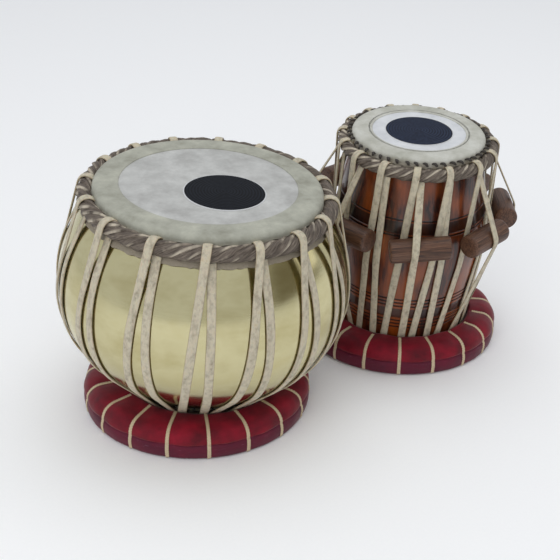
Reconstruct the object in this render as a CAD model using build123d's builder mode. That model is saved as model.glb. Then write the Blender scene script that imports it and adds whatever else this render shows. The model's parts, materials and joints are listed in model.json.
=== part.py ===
"""Tabla: a brass bass drum (bayan) and a wooden treble drum (dayan), each standing in its own ring cushion.

Millimetres, +Z up, origin on the floor under the middle of the pair. The drums stand side by side along X,
the bayan on the -X side, and the player sits on the -Y side. Each drum leans a little in its cushion, so it
has a frame of its own: a plane with its origin on the floor in the middle of the cushion and its normal
along the drum.
"""

import math
import os

from build123d import *

os.makedirs("parts", exist_ok=True)

# Where the drums stand, and how far each leans per unit of height
PAIR_SPACING = 275.0
BAYAN_X = -124.6
DAYAN_X = BAYAN_X + PAIR_SPACING
PAIR_Y = 6.2
BAYAN = Plane(origin=(BAYAN_X, PAIR_Y, 0), x_dir=(1, 0, 0), z_dir=(0.040, -0.047, 1))
DAYAN = Plane(origin=(DAYAN_X, PAIR_Y, 0), x_dir=(1, 0, 0), z_dir=(-0.005, -0.061, 1))

# Beyond every part, for cuts with no limit of their own, and how far a cut overshoots
ALL_R = 200.0
ALL_Z = 260.0
SPARE = 1.0

# Brass bowl of the bayan, as (radius, height) on its outer face
BAYAN_BASE = (16.0, 8.0)
BAYAN_FOOT = (49.0, 17.0)
BAYAN_FLANK = (117.0, 69.5)
BAYAN_BELLY = (147.0, 142.0)
BAYAN_NECK = (108.3, 237.5)
BAYAN_RIM = (110.5, 246.1)
BAYAN_LIP = 3.1
BAYAN_WALL = 2.0

# Wooden barrel of the dayan
DAYAN_BASE = (73.0, 14.5)
DAYAN_BELLY = (87.5, 142.0)
DAYAN_RIM = (69.5, 249.1)
DAYAN_CORNERS = (16.0, 150.0, 3.0)
DAYAN_WALL = 13.0
DAYAN_FLOOR_Z = 48.0
DAYAN_TAPER = 1.0
DAYAN_HOLLOW_CORNERS = (24.0, 130.0, 0.5)
# Turned bands of the barrel: (middle height, width, depth)
BAND_CUTS = (
    (174.0, 11.0, 0.8),
    (165.0, 1.6, 0.9),
    (183.0, 1.6, 0.9),
    (66.0, 11.0, 0.8),
    (85.0, 1.6, 0.9),
    (80.5, 1.6, 0.9),
    (76.0, 1.6, 0.9),
    (56.0, 1.6, 0.9),
    (51.5, 1.6, 0.9),
    (47.0, 1.6, 0.9),
)

# Heads: the skins lie on each other, and each follows the rim down the outside
LINING = (0.05, 0.95)
SKIN = (1.0, 2.1)
CHATI = (2.15, 3.3)
SKIN_GAP = 0.05
SYAHI_RISE = 1.6
SYAHI_EDGE = 0.5
LINING_WIDTH = 22.0
LINING_DROP = 3.0
CHATI_DROP = 2.5
BAYAN_CHATI_R = 88.2
BAYAN_SYAHI_R = 39.4
BAYAN_SYAHI_AT = (3.4, -22.6)
DAYAN_CHATI_R = 50.9
DAYAN_SYAHI_R = 36.2
BAYAN_SKIRT_DROP = 19.0
DAYAN_SKIRT_DROP = 9.2

# Braided hoops (radius of the hoop, height, radius of the rope) and the lacing rings under the drums
BAYAN_GAJRA = (120.4, 239.6, 7.6)
DAYAN_GAJRA = (80.6, 241.0, 7.2)
BAYAN_FOOT_RING = (54.0, 12.5, 3.0)
DAYAN_FOOT_RING = (52.0, 9.8, 2.2)

# Rawhide lacing
LOOPS = 16
LOOP_STEP = 360.0 / LOOPS
STRAP_WIDTH = 9.0
STRAP_THICK = 2.0
STRAP_GAP = 0.4
STRAP_END = -100.0
BAYAN_LOOP_START = 11.25
DAYAN_LOOP_START = 8.25
# Angles from the loop's middle of the two runs of a loop, at the hoop and at the lacing ring
BAYAN_OVER = (-1.2, -8.0)
BAYAN_UNDER = (3.6, 3.2)
DAYAN_OVER = (-2.0, -15.0)
DAYAN_UNDER = (5.6, -3.6)
STUB_OUT = 2.5
STUB_DROP = 2.0
STUB_SIZE = 1.0
STUB_ARC = 35.0

# Tuning dowels of the dayan, held between every second loop and the barrel
GATTA_START = 11.25
GATTA_R = 13.0
GATTA_CHAMFER = 1.6
GATTA_LENGTHS = (56.0, 58.0, 55.0, 57.0, 56.0, 65.0, 57.0, 56.0)
GATTAS = len(GATTA_LENGTHS)
GATTA_REACH = 102.8
GATTA_Z = 162.0

# Ring cushions
CUSHION_TOP = 33.0
CUSHION_HOLE_R = 58.0
SHOULDER_R = 15.0
INNER_SHOULDER_R = 9.0
BAYAN_CUSHION_R = 119.5
DAYAN_CUSHION_R = 112.4
COVER_THICK = 2.5
BASE_THICK = 2.0
BASE_INSET = 0.5
SEAT_GAP = 0.9
CLOTH_GAP = 0.2
BRAID_BANDS = 18
BRAID_WIDTH = 4.5
BRAID_THICK = 0.7
BRAID_LOW = 0.4
BRAID_INNER_R = 96.0
BAYAN_BRAID_START = 3.8
DAYAN_BRAID_START = 10.6


def half(frame, angle=0.0):
    """Plane through a drum's axis: its x runs outwards at this angle, its y up the axis."""
    turn = math.radians(angle)
    out = frame.x_dir * math.cos(turn) + frame.y_dir * math.sin(turn)
    return Plane(origin=frame.origin, x_dir=out, z_dir=out.cross(frame.z_dir))


def axis_of(frame):
    return Axis(frame.origin, frame.z_dir)


def polar(radius, angle, height):
    turn = math.radians(angle)
    return Vector(radius * math.cos(turn), radius * math.sin(turn), height)


def save(piece, name):
    piece.part.label = name
    export_step(piece.part, f"parts/{name}.step")


def bayan_face():
    """Whole cross-section of the brass bowl, filled in."""
    with BuildSketch() as face:
        with BuildLine():
            base = Line((0, BAYAN_BASE[1]), BAYAN_BASE)
            foot = TangentArc(base @ 1, BAYAN_FOOT, tangent=base % 1)
            flank = TangentArc(foot @ 1, BAYAN_FLANK, tangent=foot % 1)
            belly = TangentArc(flank @ 1, BAYAN_BELLY, tangent=flank % 1)
            shoulder = TangentArc(belly @ 1, BAYAN_NECK, tangent=belly % 1)
            lip = Line(shoulder @ 1, (BAYAN_RIM[0], BAYAN_RIM[1] - BAYAN_LIP))
            bead = TangentArc(lip @ 1, (BAYAN_RIM[0] - BAYAN_LIP, BAYAN_RIM[1]), tangent=(0, 1))
            Polyline(bead @ 1, (0, BAYAN_RIM[1]), (0, BAYAN_BASE[1]))
        make_face()
        mirror(about=Plane.YZ)
    return face.sketch


def dayan_face():
    """Whole cross-section of the wooden barrel, filled in."""
    with BuildSketch() as face:
        with BuildLine():
            start = (0, DAYAN_BASE[1])
            end = (0, DAYAN_RIM[1])
            FilletPolyline(start, DAYAN_BASE, DAYAN_BELLY, DAYAN_RIM, end, radius=DAYAN_CORNERS)
            Line(end, start)
        make_face()
        mirror(about=Plane.YZ)
    return face.sketch


def grown(face, amount):
    """A cross-section grown outwards, or shrunk if the amount is negative."""
    with BuildSketch() as result:
        add(face)
        offset(amount=amount, kind=Kind.ARC)
    return result.sketch


def belly_circle(belly, point):
    """(radius, height, size) of the circle that is upright at the belly and passes through the point."""
    inward = belly[0] - point[0]
    size = (inward**2 + (belly[1] - point[1]) ** 2) / (2 * inward)
    return (belly[0] - size, belly[1], size)


def corner_circle(before, corner, after, size):
    """(radius, height, size) of the circle that rounds a corner between two straight runs."""
    back = (Vector(*before) - Vector(*corner)).normalized()
    on = (Vector(*after) - Vector(*corner)).normalized()
    half_turn = math.radians(back.get_angle(on) / 2)
    centre = Vector(*corner) + (back + on).normalized() * (size / math.sin(half_turn))
    return (centre.X, centre.Y, size)


def leaving_angle(circle, following):
    """Angle of the outward normal of a taut strap between two circles, the first above the second."""
    step = Vector(following[0] - circle[0], following[1] - circle[1])
    lean = max(-1.0, min(1.0, (circle[2] - following[2]) / step.length))
    return math.degrees(math.atan2(step.Y, step.X) + math.acos(lean))


def rim_point(circle, angle, clear):
    turn = math.radians(angle)
    reach = circle[2] + clear
    return (circle[0] + reach * math.cos(turn), circle[1] + reach * math.sin(turn))


def taut_line(circles, start, end, clear):
    """Arcs and straight runs of a strap pulled over circles, clear of them by the same distance all along."""
    angles = [start]
    for circle, following in zip(circles, circles[1:]):
        angle = leaving_angle(circle, following)
        angles.append(angle if angle <= angles[-1] else angle - 360)
    angles.append(end)
    reached = None
    for circle, first, last in zip(circles, angles, angles[1:]):
        corner = rim_point(circle, first, clear)
        if reached and math.dist(reached, corner) > 0.01:
            Line(reached, corner)
        elif reached:
            corner = reached
        reached = rim_point(circle, last, clear)
        ThreePointArc(corner, rim_point(circle, (first + last) / 2, clear), reached)


def strap_section(circles, start, end):
    """Cross-section of a strap along its taut line."""
    near = STRAP_GAP
    far = STRAP_GAP + STRAP_THICK
    with BuildSketch() as section:
        with BuildLine():
            taut_line(circles, start, end, near)
            taut_line(circles, start, end, far)
            Line(rim_point(circles[0], start, near), rim_point(circles[0], start, far))
            Line(rim_point(circles[-1], end, near), rim_point(circles[-1], end, far))
        make_face()
    return section.sketch


def keep_between(r0, r1, z0, z1):
    """Keeps what a sketch has between two radii and two heights."""
    with Locations(((r0 + r1) / 2, (z0 + z1) / 2)):
        Rectangle(r1 - r0, z1 - z0, mode=Mode.INTERSECT)


def cut_between(r0, r1, z0, z1):
    with Locations(((r0 + r1) / 2, (z0 + z1) / 2)):
        Rectangle(r1 - r0, z1 - z0, mode=Mode.SUBTRACT)


def skin_layer(frame, face, layer, inner_r, low_z):
    """One skin of a head, between two offsets of the drum, outside inner_r and above low_z."""
    with BuildPart() as skin:
        with BuildSketch(half(frame)):
            add(grown(face, layer[1]))
            add(grown(face, layer[0]), mode=Mode.SUBTRACT)
            keep_between(inner_r, ALL_R, low_z, ALL_Z)
        revolve(axis=axis_of(frame))
    return skin


def bayan_shell():
    with BuildPart() as shell:
        with BuildSketch(half(BAYAN)):
            add(bayan_face())
            add(grown(bayan_face(), -BAYAN_WALL), mode=Mode.SUBTRACT)
            mouth_r = BAYAN_NECK[0] - BAYAN_WALL - SPARE
            cut_between(-mouth_r, mouth_r, BAYAN_NECK[1], ALL_Z)
            keep_between(0, ALL_R, 0, ALL_Z)
        revolve(axis=axis_of(BAYAN))
    return shell


def dayan_shell():
    """Barrel turned from one block, hollow from the top, with its bands cut round the outside."""
    with BuildPart() as shell:
        with BuildSketch(half(DAYAN)):
            add(dayan_face())
            with BuildLine():
                FilletPolyline(
                    (0, DAYAN_FLOOR_Z),
                    (DAYAN_BASE[0] - DAYAN_WALL, DAYAN_FLOOR_Z),
                    (DAYAN_BELLY[0] - DAYAN_WALL - DAYAN_TAPER, DAYAN_BELLY[1]),
                    (DAYAN_RIM[0] - DAYAN_WALL + DAYAN_TAPER, DAYAN_RIM[1] + SPARE),
                    (0, DAYAN_RIM[1] + SPARE),
                    radius=DAYAN_HOLLOW_CORNERS,
                )
                Line((0, DAYAN_RIM[1] + SPARE), (0, DAYAN_FLOOR_Z))
            make_face(mode=Mode.SUBTRACT)
            keep_between(0, ALL_R, 0, ALL_Z)
        revolve(axis=axis_of(DAYAN))
        for height, width, depth in BAND_CUTS:
            with BuildSketch(half(DAYAN)):
                add(grown(dayan_face(), SPARE))
                add(grown(dayan_face(), -depth), mode=Mode.SUBTRACT)
                keep_between(DAYAN_BASE[0] - DAYAN_WALL, ALL_R, height - width / 2, height + width / 2)
            revolve(axis=axis_of(DAYAN), mode=Mode.SUBTRACT)
    return shell


def syahi(frame, at, radius, head_z):
    """Round patch of black paste, thickest in the middle, on the skin."""
    spot = Plane(origin=frame.from_local_coords((at[0], at[1], head_z)), x_dir=frame.x_dir, z_dir=frame.z_dir)
    with BuildPart() as patch:
        with BuildSketch(half(spot)):
            with BuildLine():
                crown = TangentArc((0, SYAHI_RISE), (radius, SYAHI_EDGE), tangent=(1, 0))
                Polyline(crown @ 1, (radius, 0), (0, 0), crown @ 0)
            make_face()
        revolve(axis=axis_of(spot))
    return patch


def hoop(frame, radius, height, size):
    """Ring of round section: a braided hoop or a lacing ring."""
    with BuildPart() as ring:
        with BuildSketch(half(frame)):
            with Locations((radius, height)):
                Circle(size)
        revolve(axis=axis_of(frame))
    return ring


def strap_run(circles, start, top, bottom):
    """One straight run of rawhide over circles, in the plane through its top and bottom points.

    start is the angle on the first circle where the run begins; top and bottom are (radius, angle, height).
    """
    high = polar(*top)
    slant = high - polar(*bottom)
    out = polar(1, (top[1] + bottom[1]) / 2, 0)
    across = out.cross(slant).normalized()
    origin = high - out * high.dot(out) - across.cross(out) * top[2]
    with BuildPart() as run:
        with BuildSketch(Plane(origin=origin, x_dir=out, z_dir=across).offset(-STRAP_WIDTH / 2)):
            add(strap_section(circles, start, STRAP_END))
        extrude(amount=STRAP_WIDTH)
    return run


def over_run(body, gajra, foot_ring, top_angle, bottom_angle):
    """Run that starts on top of the hoop, passes over it and goes down to the lacing ring."""
    radius, height, size = gajra
    top = (radius, top_angle, height)
    bottom = (foot_ring[0], bottom_angle, foot_ring[1])
    return strap_run((gajra,) + body + (foot_ring,), 90, top, bottom)


def under_run(body, gajra, foot_ring, top_angle, bottom_angle):
    """Run that comes out from under the hoop; body holds the circles that it passes over."""
    radius, height, size = gajra
    stub = (radius + STUB_OUT, height - size - STRAP_THICK - STUB_DROP, STUB_SIZE)
    top = (radius, top_angle, height - size)
    bottom = (foot_ring[0], bottom_angle, foot_ring[1])
    start = leaving_angle(stub, body[0]) + STUB_ARC
    return strap_run((stub,) + body + (foot_ring,), start, top, bottom)


def lacing(frame, runs):
    """All the straps of a drum: each entry is (run, how many, angle of the first)."""
    with BuildPart(frame) as straps:
        for run, count, start in runs:
            with PolarLocations(0, count, start_angle=start):
                add(run.part)
    return straps


def dowel(angle, length):
    """Round wooden tuning dowel, lying across the barrel outside the straps behind it."""
    across = half(DAYAN, angle)
    end = Plane(
        origin=across.from_local_coords((GATTA_REACH, GATTA_Z, -length / 2)),
        x_dir=across.x_dir,
        z_dir=across.z_dir,
    )
    with BuildPart() as gatta:
        with BuildSketch(end):
            Circle(GATTA_R)
        extrude(amount=length)
        chamfer(gatta.edges().filter_by(GeomType.CIRCLE), length=GATTA_CHAMFER)
    return gatta


def cushion_section(outer_r, inset, low_z, top_corner):
    """Cross-section of a ring cushion: upright side wall, rounded shoulders, flat underside."""
    width = outer_r - CUSHION_HOLE_R - 2 * inset
    height = CUSHION_TOP - inset - low_z
    with BuildSketch() as section:
        with Locations(((outer_r + CUSHION_HOLE_R) / 2, low_z + height / 2)):
            Rectangle(width, height)
        shoulders = section.vertices().group_by(Axis.Y)[-1].sort_by(Axis.X)
        fillet(shoulders[-1], radius=top_corner)
        fillet(section.vertices().group_by(Axis.Y)[-1].sort_by(Axis.X)[0], radius=INNER_SHOULDER_R - inset)
    return section.sketch


def seat_cutter(drum, circles, gap):
    """The space that the laced drum takes in its cushion: all that is inside a line taut over the circles."""
    clear = STRAP_GAP + STRAP_THICK + gap
    first = rim_point(circles[0], 0, clear)
    last = rim_point(circles[-1], -90, clear)
    with BuildPart() as cutter:
        with BuildSketch(half(drum)):
            with BuildLine():
                taut_line(circles, 0, -90, clear)
                Polyline(first, (0, first[1]), (0, last[1]), last)
            make_face()
        revolve(axis=axis_of(drum))
    return cutter


def cushion_core(ring, drum, circles, outer_r, spare):
    """Coiled filling; spare is the gap between it and the cloth."""
    inset = COVER_THICK + spare
    seat = seat_cutter(drum, circles, SEAT_GAP + inset)
    with BuildPart() as core:
        with BuildSketch(half(ring)):
            add(cushion_section(outer_r, inset, BASE_THICK + spare, SHOULDER_R - inset))
        revolve(axis=axis_of(ring))
        add(seat.part, mode=Mode.SUBTRACT)
    return core


def cushion_cover(ring, drum, circles, outer_r):
    """Cloth over the filling, open underneath, where the base cloth closes it."""
    filling = cushion_core(ring, drum, circles, outer_r, 0.0)
    seat = seat_cutter(drum, circles, SEAT_GAP)
    with BuildPart() as cover:
        with BuildSketch(half(ring)):
            add(cushion_section(outer_r, 0, BASE_THICK, SHOULDER_R))
        revolve(axis=axis_of(ring))
        add(seat.part, mode=Mode.SUBTRACT)
        add(filling.part, mode=Mode.SUBTRACT)
    return cover


def cushion_base(ring, outer_r):
    with BuildPart() as base:
        with BuildSketch(ring):
            Circle(outer_r - BASE_INSET)
            Circle(CUSHION_HOLE_R + BASE_INSET, mode=Mode.SUBTRACT)
        extrude(amount=BASE_THICK - CLOTH_GAP)
    return base


def braid_bands(ring, outer_r, start):
    """Narrow gold braids wrapped over the outside of the cushion, from the seat down to the floor."""
    with BuildPart() as band:
        with BuildSketch(half(Plane.XY)):
            proud = CLOTH_GAP + BRAID_THICK
            add(cushion_section(outer_r, -proud, BRAID_LOW, SHOULDER_R + proud))
            add(cushion_section(outer_r, -CLOTH_GAP, 0, SHOULDER_R + CLOTH_GAP), mode=Mode.SUBTRACT)
            keep_between(BRAID_INNER_R, ALL_R, 0, ALL_Z)
        revolve(axis=axis_of(Plane.XY), revolution_arc=math.degrees(BRAID_WIDTH / outer_r))
    with BuildPart(ring) as bands:
        with PolarLocations(0, BRAID_BANDS, start_angle=start):
            add(band.part)
    return bands


def make_heads(name, frame, face, rim, chati_r, skirt_z, patch):
    """Lining ring, playing skin, outer ring skin and black patch of one drum."""
    at, radius = patch
    save(skin_layer(frame, face, LINING, rim[0] - LINING_WIDTH, rim[1] - LINING_DROP), f"{name}_lining_ring")
    save(skin_layer(frame, face, SKIN, 0, skirt_z), f"{name}_head_skin")
    save(skin_layer(frame, face, CHATI, chati_r, rim[1] - CHATI_DROP), f"{name}_chati")
    save(syahi(frame, at, radius, rim[1] + SKIN[1] + SKIN_GAP), f"{name}_syahi")


def make_cushion(name, drum, circles, outer_r, braid_start):
    """Core, cover, base cloth and braids of one ring cushion."""
    ring = Plane(origin=drum.origin)
    save(cushion_core(ring, drum, circles, outer_r, CLOTH_GAP), f"{name}_cushion_core")
    save(cushion_cover(ring, drum, circles, outer_r), f"{name}_cushion_cover")
    save(cushion_base(ring, outer_r), f"{name}_cushion_base")
    save(braid_bands(ring, outer_r, braid_start), f"{name}_cushion_braids")


def make_bayan():
    face = bayan_face()
    lower = belly_circle(BAYAN_BELLY, BAYAN_FLANK)
    body = (belly_circle(BAYAN_BELLY, BAYAN_NECK), lower)
    save(bayan_shell(), "bayan_shell")
    skirt_z = BAYAN_GAJRA[1] - BAYAN_SKIRT_DROP
    patch = (BAYAN_SYAHI_AT, BAYAN_SYAHI_R)
    make_heads("bayan", BAYAN, face, BAYAN_RIM, BAYAN_CHATI_R, skirt_z, patch)
    save(hoop(BAYAN, *BAYAN_GAJRA), "bayan_gajra")
    save(hoop(BAYAN, *BAYAN_FOOT_RING), "bayan_foot_ring")
    over = over_run(body, BAYAN_GAJRA, BAYAN_FOOT_RING, *BAYAN_OVER)
    under = under_run(body, BAYAN_GAJRA, BAYAN_FOOT_RING, *BAYAN_UNDER)
    runs = ((over, LOOPS, BAYAN_LOOP_START), (under, LOOPS, BAYAN_LOOP_START))
    save(lacing(BAYAN, runs), "bayan_straps")
    make_cushion("bayan", BAYAN, (lower, BAYAN_FOOT_RING), BAYAN_CUSHION_R, BAYAN_BRAID_START)


def make_dayan():
    face = dayan_face()
    base = corner_circle((0, DAYAN_BASE[1]), DAYAN_BASE, DAYAN_BELLY, DAYAN_CORNERS[0])
    belly = corner_circle(DAYAN_BASE, DAYAN_BELLY, DAYAN_RIM, DAYAN_CORNERS[1])
    held = (GATTA_REACH, GATTA_Z, GATTA_R)
    save(dayan_shell(), "dayan_shell")
    skirt_z = DAYAN_GAJRA[1] - DAYAN_SKIRT_DROP
    make_heads("dayan", DAYAN, face, DAYAN_RIM, DAYAN_CHATI_R, skirt_z, ((0, 0), DAYAN_SYAHI_R))
    save(hoop(DAYAN, *DAYAN_GAJRA), "dayan_gajra")
    save(hoop(DAYAN, *DAYAN_FOOT_RING), "dayan_foot_ring")
    over = over_run((belly, base), DAYAN_GAJRA, DAYAN_FOOT_RING, *DAYAN_OVER)
    under = under_run((belly, base), DAYAN_GAJRA, DAYAN_FOOT_RING, *DAYAN_UNDER)
    lifted = under_run((held, base), DAYAN_GAJRA, DAYAN_FOOT_RING, *DAYAN_UNDER)
    runs = ((over, LOOPS, DAYAN_LOOP_START), (under, GATTAS, DAYAN_LOOP_START + LOOP_STEP))
    save(lacing(DAYAN, runs), "dayan_straps")
    for number, length in enumerate(GATTA_LENGTHS):
        angle = number * 360 / GATTAS
        save(dowel(GATTA_START + angle, length), f"gatta_{number + 1}")
        save(lacing(DAYAN, ((lifted, 1, DAYAN_LOOP_START + angle),)), f"strap_over_gatta_{number + 1}")
    make_cushion("dayan", DAYAN, (held, base, DAYAN_FOOT_RING), DAYAN_CUSHION_R, DAYAN_BRAID_START)


make_bayan()
make_dayan()
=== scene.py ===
"""Looks of a tabla: a brass bayan and a rosewood dayan, laced with rawhide, each seated in a ring cushion.

Shapes are worked out in millimetres in the frame of their own drum, which leans a little in its cushion:
origin on the floor in the middle of the cushion, z up the drum. Each piece is then put in place in metres.
"""

import bisect
import json
import math
import random

import bmesh
import bpy
from mathutils import Matrix, Vector, noise


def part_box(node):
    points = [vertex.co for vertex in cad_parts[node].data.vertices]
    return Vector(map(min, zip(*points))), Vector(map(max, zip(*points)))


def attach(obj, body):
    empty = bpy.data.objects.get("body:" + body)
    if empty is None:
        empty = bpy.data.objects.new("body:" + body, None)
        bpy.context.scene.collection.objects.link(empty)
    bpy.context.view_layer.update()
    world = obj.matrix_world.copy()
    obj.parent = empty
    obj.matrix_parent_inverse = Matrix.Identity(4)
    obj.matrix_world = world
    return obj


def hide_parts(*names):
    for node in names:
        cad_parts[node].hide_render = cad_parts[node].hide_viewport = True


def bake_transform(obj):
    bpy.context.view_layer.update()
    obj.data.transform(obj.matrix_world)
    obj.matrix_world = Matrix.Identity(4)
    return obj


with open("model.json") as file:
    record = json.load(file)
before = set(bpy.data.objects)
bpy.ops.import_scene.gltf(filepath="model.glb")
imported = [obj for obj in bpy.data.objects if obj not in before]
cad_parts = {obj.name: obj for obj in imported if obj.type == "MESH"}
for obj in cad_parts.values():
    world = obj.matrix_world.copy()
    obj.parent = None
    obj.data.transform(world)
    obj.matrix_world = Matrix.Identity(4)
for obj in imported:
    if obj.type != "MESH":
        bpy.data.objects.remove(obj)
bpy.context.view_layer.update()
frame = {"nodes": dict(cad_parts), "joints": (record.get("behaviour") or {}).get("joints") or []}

MM = 0.001

# Brass bowl, as (radius, height)
BOWL_BASE = (16.0, 8.0)
BOWL_FOOT = (49.0, 17.0)
BOWL_FLANK = (117.0, 69.5)
BOWL_BELLY = (147.0, 142.0)
BOWL_NECK = (108.3, 237.5)
BOWL_RIM = (110.5, 246.1)
BOWL_LIP = 3.1
BOWL_WALL = 2.0

# Wooden barrel
BARREL_BASE = (73.0, 14.5)
BARREL_BELLY = (87.5, 142.0)
BARREL_RIM = (69.5, 249.1)
BARREL_FLOOR = 48.0
BARREL_WALL = 13.0
BASE_ROUND = 16.0
BELLY_ROUND = 150.0
RIM_ROUND = 3.0
WIDE_BANDS = ((174.0, 13.0), (66.0, 12.0))
LINES = (165.0, 183.0, 85.0, 80.5, 76.0, 56.0, 51.5, 47.0)
LINE_WIDTH = 1.8
CUT_DEPTH = 0.9
# How dark the bands and the lines are scorched, from 0 to 1
BAND_SCORCH = 0.78
LINE_SCORCH = 0.92

# Skins, hoops and lacing: hoops are (radius, height, size of the rope)
BOWL_HOOP = (120.4, 239.0, 7.6)
BARREL_HOOP = (80.2, 239.8, 6.6)
HOOP_TILT = 3.2
HOOP_BACK_DROP = 1.0
HOOP_LOW_SIDE = -125.0
# Half the thickness of a hoop's strand, as a share of the hoop's, and its tilt, in radians
STRAND_THIN = 0.36
STRAND_TILT = 0.42
BOWL_FOOT_RING = (54.0, 12.5, 3.0)
BARREL_FOOT_RING = (52.0, 9.8, 2.2)
SKIN_OUT = 2.1
SKIN_IN = 1.0
EDGE_OUT = 3.2
BOWL_EDGE_R = 88.2
BARREL_EDGE_R = 50.9
BOWL_PATCH_R = 40.6
BARREL_PATCH_R = 36.9
BOWL_PATCH_AT = (4.4, -22.4)
PASTE_RING = 3.0
# The bayan's skin past the rim: height of its neck, and where it lies on the shoulder, in degrees
NECK_Z = 240.4
SHOULDER_TOP = 43.2
SHOULDER_STEP = 1.05
BOWL_STRAP_WIDTH = 9.0
BARREL_STRAP_WIDTH = 8.0
STRAP_THICK = 1.9
STRAP_CLEAR = 0.5
STRAP_STEP = 4.0
LOOPS = 16
LOOP_STEP = 360.0 / LOOPS
BOWL_LOOP_START = 11.25
BARREL_LOOP_START = 8.25
SEAT_Z = 36.0
# Angles round the section where a strap begins, over the hoop or under it, and where it ends
OVER_HOOP = 158
UNDER_HOOP = 75
STRAP_END = -225.0
# Degrees that a run is turned by at the hoop, at the cushion's seat and at the lacing ring
BOWL_OVER = (1.0, -9.6, -8.6)
BOWL_UNDER = (2.9, 5.5, 3.9)
BARREL_OVER = (-1.5, -15.3, -14.4)
BARREL_UNDER = (0.0, -2.0, -2.6)
BARREL_LIFTED = (1.8, -0.5, -2.2)

# Stitches of the dayan: middle of their ring, and how far each one reaches outwards
STITCHES = 48
STITCH_R = 72.4
STITCH_Z = 246.2
STITCH_START = 2.0
STITCH_STEP = 360.0 / STITCHES
STITCH_REACH = 5.6
STITCH_RISE = 1.9
STITCH_SIZE = 2.3

# Tuning dowels
DOWELS = 8
DOWEL_START = 11.25
DOWEL_STEP = 360.0 / DOWELS
DOWEL_R = 13.0
DOWEL_REACH = 102.8
DOWEL_TILTS = (-3.0, 2.0, 3.0, -2.0, 2.5, 7.0, 2.0, -1.5)
DOWEL_Z = 162.0

# Ring cushions
HOLE_R = 58.0
BOWL_RING_R = 119.5
BARREL_RING_R = 112.4
RING_TOP = 33.2
CREASE_Z = 17.0
BRAIDS = 18
BRAID_STEP = 360.0 / BRAIDS
BOWL_BRAID_START = 4.9
BARREL_BRAID_START = 11.7
BRAID_TOP = 11
PLAIT_LENGTH = 8.4
# Threads are drawn about twice as far apart as the real ones, so that they show; a wave of scale 1 repeats
# every 0.314 units
THREAD_GAP = 1.1
WAVE_PERIOD = 0.314

# Camera of a standing viewer, a little to the right of the player's side
VIEW_AHEAD = (0.5035, 0.7244, -0.4709)
VIEW_ROLL = 0.0202
VIEW_DISTANCE = 1.3187
VIEW_OF = (0.0936, -0.0165, 0.12)
LENS = 80.13
SENSOR = 36.0

rng = random.Random(16)


# ---------------------------------------------------------------- materials

def linear(code):
    """Linear colour of an sRGB hex value."""
    parts = [int(code[i:i + 2], 16) / 255 for i in (1, 3, 5)]
    return [c / 12.92 if c <= 0.04045 else ((c + 0.055) / 1.055) ** 2.4 for c in parts] + [1.0]


def main_output(node):
    return next(output for output in node.outputs if output.enabled)


def add(tree, kind, inputs=(), stops=(), **settings):
    """Adds a node with its settings; an input is given a value, or the node or output it is linked to."""
    made = tree.nodes.new(kind)
    for name, value in settings.items():
        setattr(made, name, value)
    for name, value in inputs:
        if isinstance(value, bpy.types.Node):
            value = main_output(value)
        if isinstance(value, bpy.types.NodeSocket):
            tree.links.new(value, made.inputs[name])
        else:
            made.inputs[name].default_value = value
    for number, (place, code) in enumerate(stops):
        points = made.color_ramp.elements
        point = points[number] if number < len(points) else points.new(place)
        point.position = place
        point.color = linear(code)
    return made


def material(name, **constants):
    """A material with its shader's constant values, as (material, node tree, shader)."""
    made = bpy.data.materials.new(name)
    made.use_nodes = True
    shader = made.node_tree.nodes["Principled BSDF"]
    for socket, value in constants.items():
        shader.inputs[socket.replace("_", " ")].default_value = value
    return made, made.node_tree, shader


def surface(tree, shader, colour, height, depth, strength, gloss=None):
    """Gives a shader its colour, its relief, whose depth is in millimetres, and its roughness."""
    relief = [("Height", height), ("Distance", depth * MM), ("Strength", strength)]
    wanted = {"Base Color": colour, "Normal": add(tree, "ShaderNodeBump", relief), "Roughness": gloss}
    for socket, node in wanted.items():
        if node:
            tree.links.new(main_output(node), shader.inputs[socket])


def grain(tree, source, sizes, detail=3.0, rough=0.55, twist=0.0):
    """Noise whose grains are this many millimetres along each axis of an attribute, or of the object."""
    if source == "object":
        found = add(tree, "ShaderNodeTexCoord").outputs["Object"]
        scale = [1 / (MM * size) for size in sizes]
    else:
        found = add(tree, "ShaderNodeAttribute", attribute_name=source).outputs["Vector"]
        scale = [1.0 / size for size in sizes]
    put = add(tree, "ShaderNodeMapping", [("Vector", found), ("Scale", scale)])
    shape = [("Scale", 1.0), ("Detail", detail), ("Roughness", rough), ("Distortion", twist)]
    return add(tree, "ShaderNodeTexNoise", [("Vector", put)] + shape)


def along_strip(tree):
    """Where a point is on its strip: along it, across it, and which strip or how much side wall it is."""
    run = add(tree, "ShaderNodeAttribute", attribute_name="run").outputs["Vector"]
    return add(tree, "ShaderNodeSeparateXYZ", [("Vector", run)])


def spun_brass():
    """Spun and polished brass: a pale yellow metal with faint rings from the spinning tool."""
    made, tree, shader = material("spun_polished_brass", Metallic=1.0)
    rings = grain(tree, "own", (400.0, 400.0, 1.9), 4.0, 0.6)
    tarnish = grain(tree, "own", (55.0, 55.0, 30.0), 4.0, 0.6)
    stops = [(0.3, "#BDB386"), (0.55, "#CEC69C"), (0.75, "#C8BE8F")]
    tone = add(tree, "ShaderNodeValToRGB", [("Fac", tarnish)], stops)
    gloss = add(tree, "ShaderNodeMapRange", [("Value", tarnish), ("To Min", 0.10), ("To Max", 0.24)])
    surface(tree, shader, tone, rings, 0.06, 0.6, gloss)
    return made


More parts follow.
